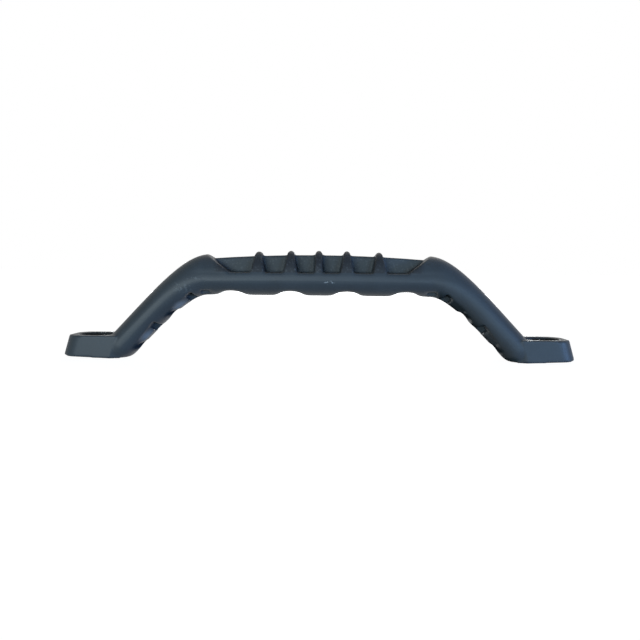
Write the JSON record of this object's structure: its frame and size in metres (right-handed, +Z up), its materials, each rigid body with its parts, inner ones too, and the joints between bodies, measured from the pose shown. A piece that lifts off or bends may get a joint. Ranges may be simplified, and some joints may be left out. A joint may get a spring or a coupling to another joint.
{
  "type": "grab handle",
  "caption": "Moulded black kiteboard grab handle: ribbed arched finger grip on two splayed legs with slotted, counterbored feet.",
  "frame": {"origin": "on the board plane, midway between the two feet", "axes": "+X along the handle, +Y to its back, +Z up from the board"},
  "size_m": [0.2514, 0.0222, 0.0536],
  "materials": {
    "nylon": "matte moulded, fine speckle"
  },
  "bodies": {
    "root": {"grab_handle": "nylon"}
  },
  "joints": []
}
